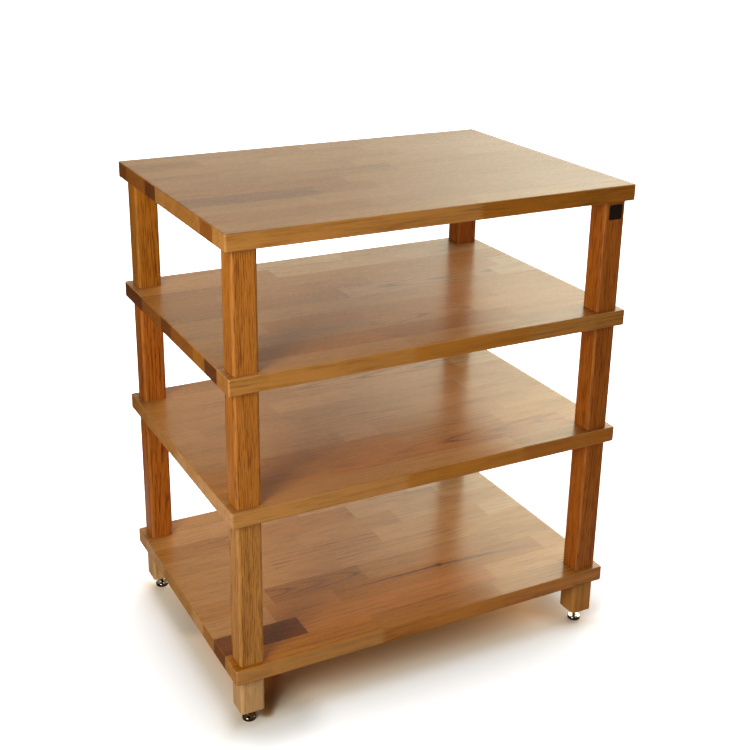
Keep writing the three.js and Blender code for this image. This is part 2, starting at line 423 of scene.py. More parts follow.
def oak(name, along, rubbing_and_highlight, streak_stretch):
    """Lacquered oak cut from the log as a solid: rings about each piece's pith, pores, rays and fibres.

    The piece carries the attributes pith (its place across the grain and a ring offset), lean (the
    pith's slopes and the ring width), figure (how bold the rings and the streaks are) and oak_tone.
    """
    material, bench, shader = new_material(name)
    x, y, z = bench.parts(bench.coordinates("Object"))
    nx, ny, nz = bench.parts(bench.coordinates("Normal"))
    if along == "X":
        place, end_facing = bench.join(x, y, z), nx
    else:
        place, end_facing = bench.join(z, x, y), nz
    run, side, depth = bench.parts(place)
    pith_side, pith_depth, ring_offset = bench.parts(bench.attribute("pith"))
    lean_side, lean_depth, ring_width = bench.parts(bench.attribute("lean"))
    ring_bold, streak_bold, _ = bench.parts(bench.attribute("figure"))
    seed = bench.join(bench.times(ring_offset, 7.3), 0, 0)

    wobble = bench.minus(bench.noise(place, *WOOD_NOISE["wobble"], seed), 0.5)
    ripple = bench.minus(bench.noise(place, *WOOD_NOISE["ripple"], seed), 0.5)
    wander = bench.plus(bench.times(wobble, RING_WOBBLE), bench.times(ripple, RING_RIPPLE))
    from_side = bench.minus(side, pith_side, bench.times(lean_side, run))
    from_depth = bench.minus(depth, pith_depth, bench.times(lean_depth, run))
    squares = bench.plus(bench.times(from_side, from_side), bench.times(from_depth, from_depth))
    radius = bench.plus(bench.math("SQRT", squares), wander)
    rings = bench.plus(bench.over(radius, ring_width), ring_offset)
    phase = bench.math("FRACT", rings)
    number = bench.math("FLOOR", rings)
    ring_noise = bench.out("ShaderNodeTexWhiteNoise", {"W": number}, noise_dimensions="1D")

    early = bench.rest(bench.span(phase, 0, 0.45))
    late = bench.span(phase, 0.72, 0.98)
    ring_dark = bench.plus(bench.times(early, EARLY_WOOD), bench.times(late, LATE_WOOD))
    ring_dark = bench.times(ring_dark, bench.span(ring_noise, 0, 1, 0.2, 1.5, False))

    pores = bench.span(bench.noise(place, *WOOD_NOISE["pores"]), 0.55, 0.70)
    pores = bench.times(pores, bench.span(early, 0, 0.7, 0.35, 1))
    streaks = bench.span(bench.noise(place, streak_stretch, 2, 0.6), 0.45, 0.58)
    streaks = bench.times(streaks, bench.span(early, 0, 0.8, 0.6, 1))
    fibres = bench.noise(place, *WOOD_NOISE["fibres"])
    clouds = bench.noise(place, *WOOD_NOISE["clouds"], seed)
    rays = bench.span(bench.noise(place, *WOOD_NOISE["rays"], seed), 0.66, 0.80)

    dark = bench.plus(
        bench.times(ring_dark, ring_bold),
        bench.times(pores, PORES),
        bench.times(streaks, streak_bold),
        bench.span(fibres, 0.25, 0.75, FIBRES, -FIBRES, False),
        bench.span(clouds, 0.2, 0.8, CLOUDS, -CLOUDS, False),
        bench.times(rays, RAYS),
    )
    around = bench.times(nx, ny)
    rim = bench.times(nz, bench.plus(bench.size(nx), bench.size(ny)))
    edge = bench.most(bench.size(around), bench.size(rim))
    # Paler edges where faces turn: partly wear, partly a painted highlight along the rounded edges
    worn_and_highlit = bench.times(bench.span(edge, 0.32, 0.48), bench.span(fibres, 0.3, 0.6, 0.3, 1))
    return material, bench, shader, {
        "dark": dark,
        "rubbed_and_highlit": bench.times(worn_and_highlit, rubbing_and_highlight),
        "pores": pores,
        "fibres": fibres,
        "end_grain": bench.span(bench.size(end_facing), 0.55, 0.9),
        "place": place,
    }


def finish_oak(bench, shader, wood, roughness, coat):
    """Colours and lacquers the wood."""
    tint = bench.ramp(wood["dark"], GRAIN_TINTS)
    colour = bench.vector("MULTIPLY", bench.attribute("oak_tone"), tint)
    bench.feed(shader.inputs["Base Color"], bench.blend(wood["rubbed_and_highlit"], colour, RUBBED_AND_HIGHLIT_OAK))
    gloss = bench.plus(
        bench.span(wood["fibres"], 0.2, 0.8, roughness + 0.03, roughness - 0.03, False),
        bench.times(wood["pores"], ROUGHER_PORES),
        bench.times(wood["end_grain"], ROUGHER_ENDS),
    )
    bench.feed(shader.inputs["Roughness"], gloss)
    bench.relief(shader, 0.22, 0.06 * MM, bench.rest(wood["dark"]))
    shader.inputs["Coat Weight"].default_value = coat
    shader.inputs["Coat Roughness"].default_value = LACQUER_ROUGHNESS


def knot_streak(bench, place):
    """How dark the knot and its streak make the wood. The knot attribute is 1 on the stave with the knot."""
    here, _, _ = bench.parts(bench.attribute("knot"))
    run, side, _ = bench.parts(place)
    low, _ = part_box(KNOT_STAVE[0])
    along = bench.minus(run, low.x + KNOT_ALONG)
    across = bench.minus(side, low.y + KNOT_ACROSS)
    drift = bench.times(bench.most(along, 0), -STREAK_DRIFT)
    sway = bench.minus(bench.noise(place, (14, 0, 0), 2, 0.6), 0.5)
    from_line = bench.size(bench.minus(across, drift, bench.times(sway, STREAK_SWAY)))
    ragged = bench.noise(place, (22, 500, 0), 3, 0.7)
    width = bench.times(bench.span(ragged, 0.2, 0.8, 0.4, 1.5, False), STREAK_WIDTH)
    width = bench.times(width, bench.span(along, 0, STREAK_CHANGE, 0.8, 1.7))
    streak = bench.rest(bench.span(bench.over(from_line, width), 0.2, 1))
    fade = bench.rest(bench.span(bench.size(along), 0.55 * STREAK_LENGTH, STREAK_LENGTH))
    streak = bench.times(streak, fade, bench.span(along, 0, STREAK_CHANGE, 0.8, 0.5))
    squares = bench.plus(bench.times(along, along, 0.35), bench.times(across, across))
    eye = bench.rest(bench.span(bench.math("SQRT", squares), 0.5 * KNOT_RADIUS, KNOT_RADIUS))
    return bench.times(bench.plus(streak, bench.times(eye, KNOT_DARKNESS)), here)


# Painted shade on the boards round each leg: how dark it is at the leg, and how far it reaches
LEG_SHADE = 0.28
LEG_SHADE_REACH = 12 * MM
LEVEL_BLUR = 0.5 * MM


def painted_leg_shade(bench, place):
    """Painted shade: how dark a board is made in the corner round the foot and the head of each leg."""
    low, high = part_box("upper_leg_front_right")
    middle = (low + high) / 2
    half = (high.x - low.x) / 2
    run, side, level = bench.parts(place)
    beside = bench.size(bench.minus(bench.size(run), middle.x))
    before = bench.size(bench.minus(bench.size(side), -middle.y))
    out = bench.minus(bench.most(beside, before), half)
    under_top = bench.span(level, high.z - LEVEL_BLUR, high.z + LEVEL_BLUR, 1, 0)
    return bench.times(bench.span(out, 0, LEG_SHADE_REACH, LEG_SHADE, 0), under_top)


def board_oak():
    """Glued-up oak: the stave_low and stave_high attributes hold the glue lines round each stave."""
    material, bench, shader, wood = oak("board_oak", "X", 0.25, (27, 380, 380))
    place = wood["place"]
    sheen = bench.span(wood["fibres"], 0.32, 0.68, 0.30, 0.52, False)
    bench.feed(shader.inputs["Specular IOR Level"], sheen)
    low_x, low_y, _ = bench.parts(bench.vector("SUBTRACT", place, bench.attribute("stave_low")))
    high_x, high_y, _ = bench.parts(bench.vector("SUBTRACT", bench.attribute("stave_high"), place))
    nearest = bench.least(bench.least(low_x, high_x), bench.least(low_y, high_y))
    glue = bench.times(bench.rest(bench.span(nearest, 0, GLUE_LINE)), GLUE_DARKNESS)
    # Glue lines, the knot and its streak darken the wood, and painted shade darkens it round each leg
    wood["dark"] = bench.plus(wood["dark"], glue, knot_streak(bench, place), painted_leg_shade(bench, place))
    finish_oak(bench, shader, wood, 0.26, 0.18)
    return material


def post_oak():
    """Plainer and less glossy oak, with its grain upright."""
    material, bench, shader, wood = oak("post_oak", "Z", 0.12, (38, 720, 720))
    shader.inputs["Specular IOR Level"].default_value = 0.18
    finish_oak(bench, shader, wood, 0.42, 0.05)
    return material


# Metals

def finish_metal(bench, shader, metallic, colour, roughness):
    bench.feed(shader.inputs["Base Color"], colour)
    shader.inputs["Metallic"].default_value = metallic
    bench.feed(shader.inputs["Roughness"], roughness)


def polished_metal():
    """Turned bright metal, tinted warm in patches; the warm, darker tint is partly painted reflection of the
    brown wood and shade round it.
    """
    material, bench, shader = new_material("polished_metal")
    place = bench.coordinates("Object")
    tint_patches = bench.noise(place, (260, 260, 260), 3, 0.6)
    lathe_marks = bench.noise(place, (500, 500, 9000), 1)
    # Painted reflection: the warm, darker tint stands partly for the brown wood and shade that the metal
    # reflects
    colour = bench.blend(tint_patches, (0.66, 0.59, 0.52), (0.58, 0.50, 0.43))
    finish_metal(bench, shader, 1, colour, bench.span(tint_patches, 0.3, 0.8, 0.06, 0.13))
    bench.relief(shader, 0.08, 0.01 * MM, lathe_marks)
    return material


def zinc_plate():
    """Bright zinc with a cloudy bloom."""
    material, bench, shader = new_material("zinc_plate")
    bloom = bench.noise(bench.coordinates("Object"), (420, 420, 420), 4, 0.6)
    colour = bench.blend(bloom, (0.58, 0.60, 0.61), (0.46, 0.47, 0.46))
    finish_metal(bench, shader, 1, colour, bench.span(bloom, 0.3, 0.8, 0.26, 0.44))
    bench.relief(shader, 0.15, 0.02 * MM, bloom)
    return material


def plate_black():
    """Brushed near-black metal with a little wear."""
    material, bench, shader = new_material("plate_black")
    place = bench.coordinates("Object")
    brushing = bench.noise(place, (90, 3000, 7000))
    wear = bench.noise(place, (600, 600, 600), 3, 0.6)
    colour = bench.blend(wear, (0.020, 0.014, 0.011), (0.038, 0.026, 0.019))
    finish_metal(bench, shader, 0.35, colour, bench.span(brushing, 0.3, 0.7, 0.22, 0.34))
    bench.relief(shader, 0.12, 0.01 * MM, brushing)
    return material


# Meshes

def add_object(name, mesh):
    obj = bpy.data.objects.new(name, mesh)
    bpy.context.scene.collection.objects.link(obj)
    return obj


def shaped(name, mesh):
    """A plain object of the bmesh, which is freed."""
    data = bpy.data.meshes.new(name)
    mesh.to_mesh(data)
    mesh.free()
    return add_object(name, data)


def baked_copy(obj, name):
    """A plain object of what obj looks like with its modifiers, which takes obj's place."""
    bpy.context.view_layer.update()
    evaluated = obj.evaluated_get(bpy.context.evaluated_depsgraph_get())
    mesh = bpy.data.meshes.new_from_object(evaluated)
    mesh.name = name
    bpy.data.objects.remove(obj)
    return add_object(name, mesh)


def both_ends(low, high, profile):
    """The (radius, rise) points of a turned profile, up from its foot and then down from its head."""
    foot = [(radius, low.z + rise) for radius, rise in profile]
    return foot + [(radius, high.z - rise) for radius, rise in reversed(profile)]


def cut_with(obj, tool, operation):
    cut = obj.modifiers.new(operation.lower(), "BOOLEAN")
    cut.operation = operation
    cut.solver = "EXACT"
    cut.object = tool


def put_on(obj, material):
    obj.data.materials.clear()
    obj.data.materials.append(material)
    return obj


def stand_for(obj, node, ending, angle=35):
    """The piece rides on the CAD node's body and hides the node.

    Faces that meet at less than the angle shade smoothly, and flat faces stay flat.
    """
    obj.data.polygons.foreach_set("use_smooth", [True] * len(obj.data.polygons))
    obj.data.set_sharp_from_angle(angle=math.radians(angle))
    weighted = obj.modifiers.new("weighted", "WEIGHTED_NORMAL")
    weighted.keep_sharp = True
    piece = baked_copy(obj, node + ending)
    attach(piece, CAD_BODY[node])
    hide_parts(node)


def add_block(mesh, low, high):
    """Adds a block between two opposite corners and returns its corner points."""
    made = bmesh.ops.create_cube(mesh, size=1.0)["verts"]
    bmesh.ops.scale(mesh, vec=high - low, verts=made)
    bmesh.ops.translate(mesh, vec=(high + low) / 2, verts=made)
    return made


def edge_run(edge):
    return edge.verts[0].co - edge.verts[1].co


def round_over(mesh, edges, radius, steps):
    bmesh.ops.bevel(
        mesh, geom=edges, offset=radius, segments=steps, profile=0.5,
        affect="EDGES", clamp_overlap=False,
    )


# Boards

def row_edges(depth):
    """Places of the glue lines between rows, from the front edge of the board to its back edge."""
    lines = [0] + [FIRST_ROW_WIDTH + k * STAVE_WIDTH for k in range(ROWS - 1)]
    return lines + [depth]


def read_row(words):
    """A row's staves as (tone, end) pairs. The last end is None."""
    words = words.split()
    ends = [float(word) * MM for word in words[1::2]] + [None]
    return list(zip(words[0::2], ends))


def row_of(face, lines, front):
    """Which row a face lies in, counted from the front."""
    place = face.calc_center_median().y - front
    return max(k for k in range(ROWS) if lines[k] <= max(place, 0))


def region(faces):
    """The faces with their edges and corners, for a cut that stays within them."""
    return [*faces, *{e for f in faces for e in f.edges}, *{v for f in faces for v in f.verts}]


def board_blank(low, high):
    mesh = bmesh.new()
    add_block(mesh, low, high)
    upright = [e for e in mesh.edges if abs(edge_run(e).z) > BOARD_ARRIS]
    round_over(mesh, upright, BOARD_CORNER_RADIUS, CORNER_STEPS)
    mesh.normal_update()
    rims = [e for e in mesh.edges if sum(abs(f.normal.z) > 0.9 for f in e.link_faces) == 1]
    round_over(mesh, rims, BOARD_ARRIS, ARRIS_STEPS)
    return mesh


def cut_fingers(mesh, face_y, cut):
    """Turns the joint at x = cut on the long edge at y = face_y into the zigzag of a finger joint."""
    tolerance = 0.01 * MM

    def at_joint(v):
        return abs(v.co.y - face_y) < tolerance and abs(v.co.x - cut) < tolerance

    found = [e for e in mesh.edges if all(map(at_joint, e.verts)) and e.calc_length() > BOARD_ARRIS]
    if not found:
        return
    foot, head = sorted(found[0].verts, key=lambda v: v.co.z)
    bmesh.ops.dissolve_edges(mesh, edges=[found[0]])
    face = next(f for f in foot.link_faces if head in f.verts)
    steps = 2 * FINGERS
    height = (head.co.z - foot.co.z) / steps
    zigzag = []
    for k in range(1, steps):
        swing = FINGER_LENGTH / 2 if k % 2 else -FINGER_LENGTH / 2
        zigzag.append(Vector((cut + swing, face_y, foot.co.z + k * height)))
    bmesh.utils.face_split(face, foot, head, coords=zigzag)


def cut_staves(mesh, low, high, rows, lines):
    """Cuts the blank along its glue lines, with finger joints on its long edges."""
    for line in lines[1:-1]:
        everything = mesh.verts[:] + mesh.edges[:] + mesh.faces[:]
        bmesh.ops.bisect_plane(mesh, geom=everything, plane_co=(0, low.y + line, 0), plane_no=(0, 1, 0))
    for k, row in enumerate(rows):
        for _, end in row[:-1]:
            chosen = [face for face in mesh.faces if row_of(face, lines, low.y) == k]
            near = region(chosen)
            bmesh.ops.bisect_plane(mesh, geom=near, plane_co=(low.x + end, 0, 0), plane_no=(1, 0, 0))
    for k, face_y in ((0, low.y), (ROWS - 1, high.y)):
        for _, end in rows[k][:-1]:
            cut_fingers(mesh, face_y, low.x + end)


def stave_grain(dice, word, side, depth):
    """Where the log's pith lies from a stave, which sets how its rings show."""
    shade = dice.uniform(0.965, 1.035)
    offset = dice.uniform(0, 40)
    width = dice.uniform(2.2, 3.6) * MM
    slope = dice.uniform(-0.015, 0.015)
    turn = dice.choice((-1, 1))
    kind = word.partition("-")[2] or "plain"
    if kind == "arched":
        pith = (side + dice.uniform(-8, 8) * MM, depth - dice.uniform(20, 34) * MM, offset)
        lean = (slope, turn * dice.uniform(0.025, 0.05), width)
    elif kind == "lined":
        pith = (side + turn * dice.uniform(90, 140) * MM, depth - dice.uniform(0, 30) * MM, offset)
        lean = (slope, 0, 3 * width)
    else:
        pith = (side + turn * dice.uniform(45, 110) * MM, depth - dice.uniform(20, 70) * MM, offset)
        lean = (slope, dice.uniform(-0.012, 0.012), width)
    return pith, lean, STAVE_FIGURES[kind], shade


# Attributes of a board's faces, as they are on the walls of its housings. No glue line is as far as FAR.
FAR = 1
BOARD_ATTRIBUTES = {
    "pith": (0, 0, 0),
    "lean": (0, 0, 3 * MM),
    "figure": (0.2, 0.2, 0),
    "oak_tone": OAK_TONES["brown"],
    "knot": (0, 0, 0),
    "stave_low": (-FAR, -FAR, 0),
    "stave_high": (FAR, FAR, 0),
}


def face_attributes(face, node, low, rows, lines, grain):
    """Grain, tone and glue lines of a face, from the stave that it lies on."""
    k = row_of(face, lines, low.y)
    along = face.calc_center_median().x - low.x
    ends = [end for _, end in rows[k][:-1]]
    n = sum(along > end for end in ends)
    tone = rows[k][n][0].partition("-")[0]
    if face.normal.x < -0.9 and n == 0:
        tone = BOARD_ENDS[node].split()[k]
    if face.normal.y < -0.9 and k == 0:
        tone = BOARD_FRONTS[node].split()[n]
    pith, lean, figure, shade = grain[k][n]
    on_long_edge = abs(face.normal.y) > 0.9
    left = low.x + ends[n - 1] if n > 0 and not on_long_edge else -FAR
    right = low.x + ends[n] if n < len(ends) and not on_long_edge else FAR
    front = low.y + lines[k] if k > 0 else -FAR
    back = low.y + lines[k + 1] if k < ROWS - 1 else FAR
    return {
        "pith": pith,
        "lean": lean,
        "figure": figure,
        "oak_tone": [c * shade for c in OAK_TONES[tone]],
        "knot": (float((node, k, n) == KNOT_STAVE), 0, 0),
        "stave_low": (left, front, 0),
        "stave_high": (right, back, 0),
    }


def board(node, seed):
    low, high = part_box(node)
    rows = [read_row(words) for words in BOARD_STAVES[node]]
    lines = row_edges(high.y - low.y)
    mesh = board_blank(low, high)
    cut_staves(mesh, low, high, rows, lines)
    dice = random.Random(seed)
    grain = []
    for k, row in enumerate(rows):
        middle = low.y + (lines[k] + lines[k + 1]) / 2
        grain.append([stave_grain(dice, word, middle, (low.z + high.z) / 2) for word, _ in row])
    layers = {name: mesh.faces.layers.float_vector.new(name) for name in BOARD_ATTRIBUTES}
    mesh.normal_update()
    for face in mesh.faces:
        for name, value in face_attributes(face, node, low, rows, lines, grain).items():
            face[layers[name]] = value
    return shaped(node, mesh)


def cut_housings(obj, node):
    """Cuts the shallow housings that the legs and foot blocks stand in."""
    low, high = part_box(node)
    cutters = bmesh.new()
    for post in (f"{kind}_{corner}" for corner in CORNERS for kind in POST_KINDS):
        post_low, post_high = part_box(post)
        if abs(post_low.z + HOUSING_DEPTH - high.z) < SAME:
            levels = (post_low.z, high.z + HOUSING_OVERRUN)
        elif abs(post_high.z - HOUSING_DEPTH - low.z) < SAME:
            levels = (low.z - HOUSING_OVERRUN, post_high.z)
        else:
            continue
        grow = Vector((HOUSING_CLEARANCE, HOUSING_CLEARANCE, 0))
        made = add_block(
            cutters,
            Vector((post_low.x, post_low.y, levels[0])) - grow,
            Vector((post_high.x, post_high.y, levels[1])) + grow,
        )
        edges = {e for v in made for e in v.link_edges}
        upright = [e for e in edges if abs(edge_run(e).x) + abs(edge_run(e).y) < SAME]
        round_over(cutters, upright, POST_CORNER_RADIUS + HOUSING_CLEARANCE, POST_CORNER_STEPS)
    for name, value in BOARD_ATTRIBUTES.items():
        layer = cutters.faces.layers.float_vector.new(name)
        for face in cutters.faces:
            face[layer] = value
    cutter = shaped("housings", cutters)
    cut_with(obj, cutter, "DIFFERENCE")
    result = baked_copy(obj, node + "_oak")
    bpy.data.objects.remove(cutter)
    return result


FIRST_BOARD_SEED = 11


def make_boards(material):
    for k, node in enumerate(BOARD_STAVES):
        piece = cut_housings(board(node, FIRST_BOARD_SEED + k), node)
        stand_for(put_on(piece, material), node, "_board")


# Pieces made by a node tree

def new_tree(name, inputs):
    """A tree with named inputs, whose default is None for a vector, and their identifiers by name."""
    tree = bpy.data.node_groups.new(name, "GeometryNodeTree")
    sockets = {}
    kinds = {float: "NodeSocketFloat", int: "NodeSocketInt", type(None): "NodeSocketVector"}
    for key, value in inputs.items():
        socket = tree.interface.new_socket(name=key, in_out="INPUT", socket_type=kinds[type(value)])
        if value is not None:
            socket.default_value = value
        sockets[key] = socket.identifier
    tree.interface.new_socket(name="Geometry", in_out="OUTPUT", socket_type="NodeSocketGeometry")
    bench = Bench(tree)
    return bench, bench.add("NodeGroupInput").outputs, sockets


def give_out(bench, geometry, material):
    """Makes the geometry real, puts the material on and gives it to the tree's output."""
    real = bench.out("GeometryNodeRealizeInstances", {"Geometry": geometry})
    dressed = bench.out("GeometryNodeSetMaterial", {"Geometry": real, "Material": material})
    output = bench.add("NodeGroupOutput")
    bench.tree.links.new(dressed, output.inputs[0])


def tree_piece(name, tree, sockets, values):
    """A plain piece of what the tree makes with these values, and its defaults for the others."""
    obj = add_object(name + "_source", bpy.data.meshes.new(name + "_source"))
    modifier = obj.modifiers.new("maker", "NODES")
    modifier.node_group = tree
    for key, value in values.items():
        modifier[sockets[key]] = value
    return baked_copy(obj, name)


# Posts: legs and foot blocks

def post_tree(material):
    """A square post with rounded corners, which stands on z = 0 before it is moved to its foot."""
    bench, given, sockets = new_tree("square post", {
        "Side": 33 * MM,
        "Corner Radius": POST_CORNER_RADIUS,
        "Length": 155 * MM,
        "Foot": None,
        "Pith": None,
        "Lean": None,
        "Figure": None,
        "Oak Tone": None,
    })
    square = {"Width": given["Side"], "Height": given["Side"]}
    outline = bench.out("GeometryNodeCurvePrimitiveQuadrilateral", square)
    corner = {"Curve": outline, "Radius": given["Corner Radius"], "Count": POST_CORNER_STEPS}
    rounded = bench.out("GeometryNodeFilletCurve", corner, mode="POLY")
    face = bench.out("GeometryNodeFillCurve", {"Curve": rounded}, mode="NGONS")
    rise = bench.join(0, 0, given["Length"])
    draw = {"Mesh": face, "Offset": rise, "Offset Scale": 1, "Individual": False}
    drawn = bench.out("GeometryNodeExtrudeMesh", draw)
    foot_face = bench.out("GeometryNodeFlipFaces", {"Mesh": face})
    closed = bench.add("GeometryNodeJoinGeometry", {0: drawn})
    bench.feed(closed.inputs[0], foot_face)
    seams = {"Geometry": closed.outputs[0], "Distance": 0.001 * MM}
    merged = bench.out("GeometryNodeMergeByDistance", seams)
    held = bench.out("GeometryNodeTransform", {"Geometry": merged, "Translation": given["Foot"]})
    for name, value in (("pith", "Pith"), ("lean", "Lean"), ("figure", "Figure"), ("oak_tone", "Oak Tone")):
        held = bench.add(
            "GeometryNodeStoreNamedAttribute", {"Geometry": held, "Name": name},
            data_type="FLOAT_VECTOR", domain="FACE",
        )
        bench.feed(held.inputs["Value"], given[value])
        held = held.outputs[0]
    give_out(bench, held, material)
    return bench.tree, sockets


def post_grain(dice, x, y):
    """Straight grain: the pith lies well outside the post, and nearly upright."""
    turn = dice.uniform(0, 2 * math.pi)
    away = dice.uniform(55, 120) * MM
    pith = (x + away * math.cos(turn), y + away * math.sin(turn), dice.uniform(0, 40))
    lean = (dice.uniform(-0.03, 0.03), dice.uniform(-0.03, 0.03), dice.uniform(1.7, 2.8) * MM)
    return pith, lean


POST_SEED = 5


def make_posts(material):
    tree, sockets = post_tree(material)
    dice = random.Random(POST_SEED)
    for corner in CORNERS:
        for kind, tone in zip(POST_KINDS, POST_TONES[corner].split()):
            node = f"{kind}_{corner}"
            low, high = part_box(node)
            middle = (low + high) / 2
            pith, lean = post_grain(dice, middle.x, middle.y)
            shade = dice.uniform(0.96, 1.04)
            piece = tree_piece(node + "_post", tree, sockets, {
                "Side": high.x - low.x,
                "Length": high.z - low.z,
                "Foot": (middle.x, middle.y, low.z),
                "Pith": pith,
                "Lean": lean,
                "Figure": FOOT_BLOCK_FIGURE if kind == "foot_block" else LEG_FIGURE,
                "Oak Tone": tuple(c * shade for c in OAK_TONES[tone]),
            })
            stand_for(piece, node, "_wood")


# Levelling feet

def lathe(name, profile, centre):
    """A closed solid turned about an upright axis from (radius, level) points, foot first."""
    mesh = bmesh.new()
    rings = []
    for radius, level in profile:
        if radius == 0:
            rings.append([mesh.verts.new((centre.x, centre.y, level))])
            continue
        ring = []
        for k in range(TURNED_SIDES):
            turn = 2 * math.pi * k / TURNED_SIDES
            place = (centre.x + radius * math.cos(turn), centre.y + radius * math.sin(turn), level)
            ring.append(mesh.verts.new(place))
        rings.append(ring)
    for lower, upper in zip(rings, rings[1:]):
        for k in range(TURNED_SIDES):
            n = (k + 1) % TURNED_SIDES
            below, above = len(lower), len(upper)
            corners = (lower[k % below], lower[n % below], upper[n % above], upper[k % above])
            mesh.faces.new(list(dict.fromkeys(corners)))
    bmesh.ops.recalc_face_normals(mesh, faces=mesh.faces)
    return shaped(name, mesh)


def arc(centre_radius, centre_level, radius, start, end):
    """Points of a quarter round in a turned profile, with angles in degrees from outwards to up."""
    points = []
    for k in range(ARC_STEPS + 1):
        turn = math.radians(start + (end - start) * k / ARC_STEPS)
        points.append((centre_radius + radius * math.cos(turn), centre_level + radius * math.sin(turn)))
    return points


def shoe(corner, material):
    """A low round disc with a dish that the spike's point stands in."""
    node = f"spike_shoe_{corner}"
    low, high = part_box(node)
    centre = (low + high) / 2
    radius = (high.x - low.x) / 2
    profile = [(0, low.z)]
    profile += arc(radius - SHOE_FOOT_ROUND, low.z + SHOE_FOOT_ROUND, SHOE_FOOT_ROUND, -90, 0)
    profile += arc(radius - SHOE_TOP_ROUND, high.z - SHOE_TOP_ROUND, SHOE_TOP_ROUND, 0, 90)
    profile += [
        (DISH_RADIUS + DISH_LIP, high.z),
        (DISH_RADIUS, high.z - DISH_LIP / 2),
        (DISH_FLOOR_RADIUS, high.z - DISH_DEPTH),
        (0, high.z - DISH_DEPTH),
    ]
    disc = put_on(lathe(node + "_turned", profile, centre), material)
    stand_for(disc, node, "_metal", 50)


def lock_nut(corner, material):
    """A hexagon with chamfered corners, drilled clear of the spike."""
    node = f"lock_nut_{corner}"
    low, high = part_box(node)
    centre = (low + high) / 2
    spike_low, spike_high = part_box(f"spike_{corner}")
    bore = (spike_high.x - spike_low.x) / 2 + NUT_BORE_CLEARANCE
    flats = min(high.x - low.x, high.y - low.y) / 2
    point = flats / math.cos(math.pi / NUT_SIDES)
    mesh = bmesh.new()
    bmesh.ops.create_cone(
        mesh, cap_ends=True, segments=NUT_SIDES, radius1=point, radius2=point, depth=high.z - low.z,
        matrix=Matrix.Translation(centre),
    )
    hexagon = shaped(node + "_hexagon", mesh)
    rise = (point - flats + NUT_CHAMFER) * math.tan(math.radians(NUT_CHAMFER_ANGLE))
    over = NUT_CUT_OVERRUN
    dressing = both_ends(low, high, ((0, 0), (flats - NUT_CHAMFER, 0), (point, rise), (point + over, rise)))
    drill = both_ends(low, high, ((0, -over), (bore + over, -over), (bore + over, -NUT_MOUTH), (bore, over)))
    tools = lathe("dressing", dressing, centre), lathe("drill", drill, centre)
    cut_with(hexagon, tools[0], "INTERSECT")
    cut_with(hexagon, tools[1], "DIFFERENCE")
    piece = baked_copy(hexagon, node + "_cut")
    for tool in tools:
        bpy.data.objects.remove(tool)
    stand_for(put_on(piece, material), node, "_metal", 25)


def spike_tree(material):
    """A threaded stem with a plain cone below it, which points down at Foot."""
    bench, given, sockets = new_tree("levelling spike", {
        "Stem Radius": 4 * MM,
        "Point Radius": SPIKE_TIP_RADIUS,
        "Cone Length": SPIKE_CONE_LENGTH,
        "Length": 40 * MM,
        "Pitch": THREAD_PITCH,
        "Thread Depth": THREAD_DEPTH,
        "Foot": None,
        "Sides": SPIKE_SIDES,
        "Steps": 256,
    })
    rod = bench.out("GeometryNodeMeshCylinder", {
        "Vertices": given["Sides"], "Side Segments": given["Steps"], "Radius": 1, "Depth": given["Length"],
    })
    x, y, z = bench.parts(bench.out("GeometryNodeInputPosition"))
    level = bench.plus(z, bench.over(given["Length"], 2))
    share = bench.over(level, given["Cone Length"])
    widening = bench.minus(given["Stem Radius"], given["Point Radius"])
    cone = bench.plus(given["Point Radius"], bench.times(widening, share))
    plain = bench.least(cone, given["Stem Radius"])
    turns = bench.over(bench.math("ARCTAN2", y, x), 2 * math.pi)
    phase = bench.math("FRACT", bench.minus(bench.over(level, given["Pitch"]), turns))
    ridge = bench.size(bench.minus(bench.times(phase, 2), 1))
    groove = bench.span(ridge, 0.10, 0.88, 0, 1, False)
    past_cone = bench.over(bench.minus(level, given["Cone Length"]), given["Pitch"])
    run_in = bench.span(past_cone, 0.2, 1.4, 0, 1, False)
    radius = bench.minus(plain, bench.times(groove, run_in, given["Thread Depth"]))
    place = bench.join(bench.times(x, radius), bench.times(y, radius), level)
    turned = bench.out("GeometryNodeSetPosition", {"Geometry": rod, "Position": place})
    placed = bench.out("GeometryNodeTransform", {"Geometry": turned, "Translation": given["Foot"]})
    give_out(bench, placed, material)
    return bench.tree, sockets


def spike(corner, tree, sockets):
    node = f"spike_{corner}"
    low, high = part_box(node)
    centre = (low + high) / 2
    length = high.z - low.z
    piece = tree_piece(node + "_rod", tree, sockets, {
        "Stem Radius": (high.x - low.x) / 2,
        "Length": length,
        "Foot": (centre.x, centre.y, low.z),
        "Steps": round(length / THREAD_PITCH * THREAD_STEPS_PER_PITCH),
    })
    stand_for(piece, node, "_metal", 60)


# Bare plate on the upper right leg

def make_plate(material):
    low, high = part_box("badge_plate")
    mesh = bmesh.new()
    add_block(mesh, low, high)
    through = [e for e in mesh.edges if abs(edge_run(e).y) > SAME]
    round_over(mesh, through, PLATE_CORNER_RADIUS, PLATE_CORNER_STEPS)
    mesh.normal_update()
    rim = [e for e in mesh.edges if sum(f.normal.y < -0.9 for f in e.link_faces) == 1]
    round_over(mesh, rim, PLATE_ARRIS, PLATE_ARRIS_STEPS)
    stand_for(put_on(shaped("plate_blank", mesh), material), "badge_plate", "_metal")


# Studio camera, from the fit to the photograph. Its frame is PHOTO_SIDE pixels square.

CAMERA_PLACE = Vector((-743.2, -1413, 1034.6)) * MM
CAMERA_AZIMUTH = math.radians(-27.568)
CAMERA_ELEVATION = math.radians(19.907)
CAMERA_ROLL = math.radians(0.809)
PHOTO_SIDE = 750
FOCAL_PIXELS = 1217.07
PRINCIPAL_POINT = (364.7, 318.4)
SENSOR = 36


